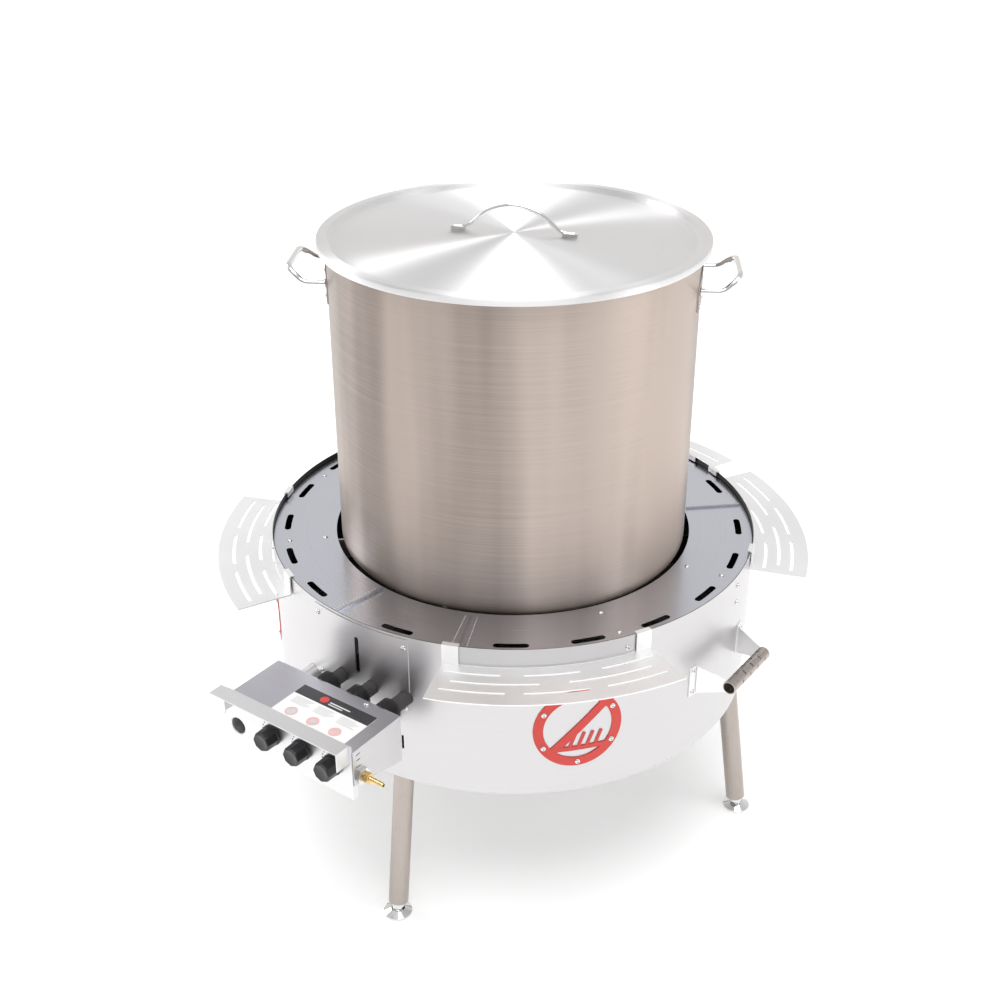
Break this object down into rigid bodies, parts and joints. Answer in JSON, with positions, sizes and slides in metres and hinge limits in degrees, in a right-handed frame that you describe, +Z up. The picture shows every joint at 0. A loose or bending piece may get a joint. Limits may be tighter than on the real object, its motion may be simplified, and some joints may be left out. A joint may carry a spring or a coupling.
{
  "type": "brew kettle on a gas cooker",
  "caption": "Lidded round brew kettle set in a round gas cooker with slotted cover ring, lift-off side shelves, control box with tap knobs, and splayed legs.",
  "frame": {"origin": "on the kettle's and drum's axis, at the height of the foot faces", "axes": "+Z up; -Y towards the control panel; +X towards the right drum handle"},
  "size_m": [0.9716, 1.124, 1.1155],
  "materials": {
    "kettle_steel": "fine horizontal brushing on the wall, radial on the lid",
    "polished_bar": "polished round bar",
    "bright_sheet": "bright cold rolled sheet",
    "panel_steel": "brushed sheet",
    "pipe_steel": "linished pipe",
    "frame_steel": "plain, slightly heat stained",
    "cast_iron": "rough casting",
    "black_mesh": "black wire cloth",
    "brass": "machined",
    "knob_black": "satin black moulding",
    "foot_chrome": "polished",
    "sign_red": "red paint on cut sheet",
    "label_film": "printed film",
    "screw_steel": "bright button heads"
  },
  "bodies": {
    "stand": {"drum_shell": "bright_sheet", "control_cover_plate": "bright_sheet", "ring_cover_front": "bright_sheet", "ring_cover_right": "bright_sheet", "ring_cover_rear": "bright_sheet", "ring_cover_left": "bright_sheet", "drum_handle_brackets": "bright_sheet", "control_box": "bright_sheet", "control_box_cover": "bright_sheet", "box_arms": "bright_sheet", "control_panel": "panel_steel", "knob_guard": "panel_steel", "lighting_port": "panel_steel", "leg_1": "pipe_steel", "leg_2": "pipe_steel", "leg_3": "pipe_steel", "leg_4": "pipe_steel", "drum_handle_right": "pipe_steel", "drum_handle_left": "pipe_steel", "gas_rail": "pipe_steel", "base_frame": "frame_steel", "pan_support": "frame_steel", "cover_brackets": "frame_steel", "ring_burner_inner": "cast_iron", "ring_burner_middle": "cast_iron", "ring_burner_outer": "cast_iron", "air_screen_1": "black_mesh", "air_screen_2": "black_mesh", "air_screen_3": "black_mesh", "gas_tap_1": "brass", "gas_tap_2": "brass", "gas_tap_3": "brass", "gas_jets": "brass", "hose_tail": "brass", "hot_surface_signs": "sign_red", "instruction_label": "label_film", "machine_screws": "screw_steel", "ring_cover_screws": "screw_steel"},
    "kettle": {"kettle_body": "kettle_steel", "kettle_base": "kettle_steel", "kettle_handle_right": "polished_bar", "kettle_handle_left": "polished_bar", "kettle_handle_plates": "kettle_steel", "kettle_rivets": "kettle_steel"},
    "lid": {"lid_shell": "kettle_steel", "lid_handle": "polished_bar"},
    "shelf_front": {"side_shelf_front": "bright_sheet"},
    "shelf_right": {"side_shelf_right": "bright_sheet"},
    "shelf_rear": {"side_shelf_rear": "bright_sheet"},
    "shelf_left": {"side_shelf_left": "bright_sheet"},
    "knob_1": {"tap_knob_1": "knob_black", "tap_spindle_1": "brass"},
    "knob_2": {"tap_knob_2": "knob_black", "tap_spindle_2": "brass"},
    "knob_3": {"tap_knob_3": "knob_black", "tap_spindle_3": "brass"},
    "foot_1": {"levelling_foot_1": "foot_chrome"},
    "foot_2": {"levelling_foot_2": "foot_chrome"},
    "foot_3": {"levelling_foot_3": "foot_chrome"},
    "foot_4": {"levelling_foot_4": "foot_chrome"}
  },
  "joints": [
    {"name": "kettle_lift", "type": "slide", "parent": "stand", "child": "kettle", "axis": [0, 0, 1], "range_m": [0, 0.2]},
    {"name": "lid_lift", "type": "slide", "parent": "kettle", "child": "lid", "axis": [0, 0, 1], "range_m": [0, 0.3]},
    {"name": "shelf_front_lift", "type": "slide", "parent": "stand", "child": "shelf_front", "axis": [0, 0, 1], "range_m": [0, 0.1]},
    {"name": "shelf_right_lift", "type": "slide", "parent": "stand", "child": "shelf_right", "axis": [0, 0, 1], "range_m": [0, 0.1]},
    {"name": "shelf_rear_lift", "type": "slide", "parent": "stand", "child": "shelf_rear", "axis": [0, 0, 1], "range_m": [0, 0.1]},
    {"name": "shelf_left_lift", "type": "slide", "parent": "stand", "child": "shelf_left", "axis": [0, 0, 1], "range_m": [0, 0.1]},
    {"name": "knob_1_turn", "type": "hinge", "parent": "stand", "child": "knob_1", "pos_m": [-0.034, -0.583, 0.424], "axis": [0, -1, 0], "range_deg": [0, 210]},
    {"name": "knob_2_turn", "type": "hinge", "parent": "stand", "child": "knob_2", "pos_m": [0.027, -0.583, 0.424], "axis": [0, -1, 0], "range_deg": [0, 210]},
    {"name": "knob_3_turn", "type": "hinge", "parent": "stand", "child": "knob_3", "pos_m": [0.088, -0.583, 0.424], "axis": [0, -1, 0], "range_deg": [0, 210]},
    {"name": "foot_1_level", "type": "slide", "parent": "stand", "child": "foot_1", "axis": [0.022, -0.1374, -0.9903], "range_m": [0, 0.02]},
    {"name": "foot_2_level", "type": "slide", "parent": "stand", "child": "foot_2", "axis": [0.1306, 0.0481, -0.9903], "range_m": [0, 0.02]},
    {"name": "foot_3_level", "type": "slide", "parent": "stand", "child": "foot_3", "axis": [-0.022, 0.1374, -0.9903], "range_m": [0, 0.02]},
    {"name": "foot_4_level", "type": "slide", "parent": "stand", "child": "foot_4", "axis": [-0.1306, -0.0481, -0.9903], "range_m": [0, 0.02]}
  ]
}
